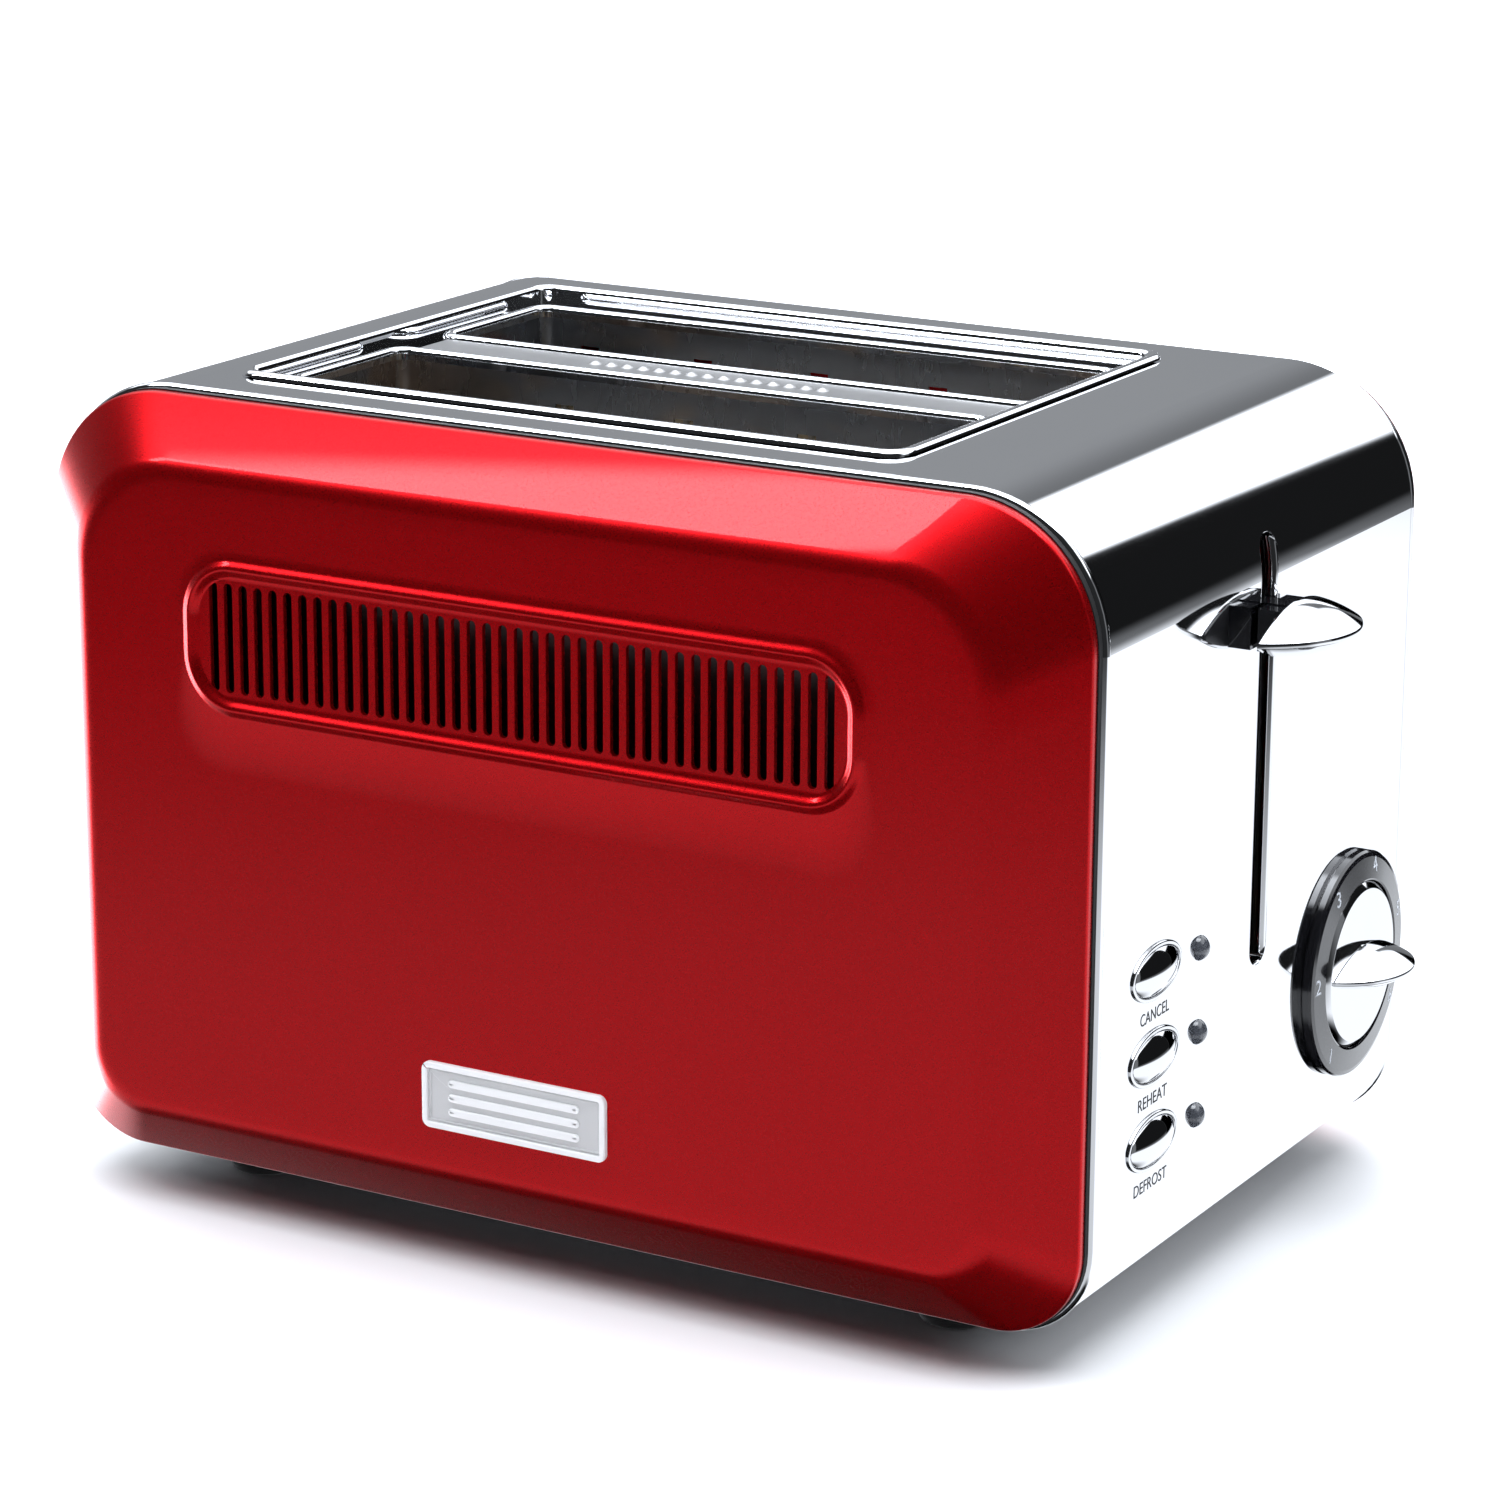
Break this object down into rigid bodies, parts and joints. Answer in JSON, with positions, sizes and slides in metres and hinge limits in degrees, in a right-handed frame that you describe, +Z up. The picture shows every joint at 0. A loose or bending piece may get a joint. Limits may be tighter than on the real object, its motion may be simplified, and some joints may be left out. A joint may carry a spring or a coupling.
{
  "type": "pop-up toaster",
  "caption": "Pop-up toaster for slices of bread: boxy chrome wrap-around cover, painted side panels with vents, sprung lever and carriage, browning dial, push buttons and a crumb tray.",
  "frame": {"origin": "middle of the toaster's overall footprint, lever knob and cord gland counted, on the counter under its feet", "axes": "+X towards the end with the lever, buttons and dial, -Y out of the front panel with the badge, +Z up"},
  "size_m": [0.2908, 0.196, 0.1912],
  "materials": {
    "red_enamel": "deep red gloss enamel on pressed steel",
    "chrome": "polished",
    "gasket_rubber": "matt black",
    "foot_rubber": "matt black",
    "black_plastic": "fine matt heat-resistant plastic",
    "gloss_black": "polished black plastic",
    "throat_steel": "dull dark steel",
    "plain_steel": "plated steel sheet",
    "wire_steel": "bright drawn wire",
    "reflector_steel": "aluminised steel",
    "mica": "pressed mica board",
    "heater_alloy": "oxidised heater ribbon",
    "copper": "enamelled copper winding on a bobbin",
    "board_green": "circuit board with solder mask",
    "ceramic": "ivory moulding",
    "lead_brown": "glass-sleeved lead",
    "lamp_lens": "smoked clear lens",
    "badge_white": "white enamel"
  },
  "bodies": {
    "shell": {"front_panel": "red_enamel", "rear_panel": "red_enamel", "front_gasket": "gasket_rubber", "rear_gasket": "gasket_rubber", "wrap_cover": "chrome", "slot_surround": "chrome", "divider_bar": "chrome", "throat_front": "throat_steel", "throat_rear": "throat_steel", "badge": "chrome", "badge_inlay": "badge_white", "base_plate": "black_plastic", "foot_front_left": "foot_rubber", "foot_front_right": "foot_rubber", "foot_rear_left": "foot_rubber", "foot_rear_right": "foot_rubber", "screws": "plain_steel", "cord_gland": "black_plastic", "terminal_block": "ceramic", "supply_leads": "lead_brown", "end_plate_left": "plain_steel", "end_plate_right": "plain_steel", "reflector_front": "reflector_steel", "reflector_rear": "reflector_steel", "heater_card_1": "mica", "heater_card_2": "mica", "heater_card_3": "mica", "heater_card_4": "mica", "heater_ribbon_1": "heater_alloy", "heater_ribbon_2": "heater_alloy", "heater_ribbon_3": "heater_alloy", "heater_ribbon_4": "heater_alloy", "top_bracket": "plain_steel", "guide_rod": "wire_steel", "magnet_core": "plain_steel", "magnet_coil": "copper", "button_board": "board_green", "button_switches": "black_plastic", "button_bezels": "chrome", "lamp_lenses": "lamp_lens", "dial_board": "board_green", "dial_ring": "gloss_black"},
    "carriage": {"carriage": "plain_steel", "bread_rest_front": "wire_steel", "bread_rest_rear": "wire_steel", "latch_plate": "plain_steel", "lift_spring": "wire_steel", "lever_stem": "gloss_black", "lever_knob": "chrome"},
    "guide_front_outer": {"guide_1": "wire_steel"},
    "guide_front_inner": {"guide_2": "wire_steel"},
    "guide_rear_inner": {"guide_3": "wire_steel"},
    "guide_rear_outer": {"guide_4": "wire_steel"},
    "dial": {"dial_knob": "chrome", "dial_shaft": "wire_steel"},
    "button_upper": {"button_upper": "chrome"},
    "button_middle": {"button_middle": "chrome"},
    "button_lower": {"button_lower": "chrome"},
    "tray": {"crumb_tray": "plain_steel", "tray_front": "chrome"}
  },
  "joints": [
    {"name": "carriage_slide", "type": "slide", "parent": "shell", "child": "carriage", "axis": [0, 0, 1], "range_m": [-0.072, 0.014], "stiffness_N_per_m": 80, "springref_m": 0.0147, "deforming": ["lift_spring"]},
    {"name": "guide_front_outer_slide", "type": "slide", "parent": "shell", "child": "guide_front_outer", "axis": [0, 1, 0], "range_m": [-0.0014, 0.0072]},
    {"name": "guide_front_inner_slide", "type": "slide", "parent": "shell", "child": "guide_front_inner", "axis": [0, 1, 0], "range_m": [-0.0072, 0.0014]},
    {"name": "guide_rear_inner_slide", "type": "slide", "parent": "shell", "child": "guide_rear_inner", "axis": [0, 1, 0], "range_m": [-0.0014, 0.0072]},
    {"name": "guide_rear_outer_slide", "type": "slide", "parent": "shell", "child": "guide_rear_outer", "axis": [0, 1, 0], "range_m": [-0.0072, 0.0014]},
    {"name": "dial_turn", "type": "hinge", "parent": "shell", "child": "dial", "pos_m": [0.1256, 0.051, 0.0563], "axis": [-1, 0, 0], "range_deg": [-53, 212]},
    {"name": "button_upper_press", "type": "slide", "parent": "shell", "child": "button_upper", "axis": [-1, 0, 0], "range_m": [0, 0.002], "stiffness_N_per_m": 400, "springref_m": -0.0015},
    {"name": "button_middle_press", "type": "slide", "parent": "shell", "child": "button_middle", "axis": [-1, 0, 0], "range_m": [0, 0.002], "stiffness_N_per_m": 400, "springref_m": -0.0015},
    {"name": "button_lower_press", "type": "slide", "parent": "shell", "child": "button_lower", "axis": [-1, 0, 0], "range_m": [0, 0.002], "stiffness_N_per_m": 400, "springref_m": -0.0015},
    {"name": "tray_slide", "type": "slide", "parent": "shell", "child": "tray", "axis": [-1, 0, 0], "range_m": [0, 0.19]}
  ],
  "couplings": [
    {"joint": "guide_front_outer_slide", "follows": "carriage_slide", "ratio": -0.1},
    {"joint": "guide_front_inner_slide", "follows": "carriage_slide", "ratio": 0.1},
    {"joint": "guide_rear_inner_slide", "follows": "carriage_slide", "ratio": -0.1},
    {"joint": "guide_rear_outer_slide", "follows": "carriage_slide", "ratio": 0.1}
  ]
}
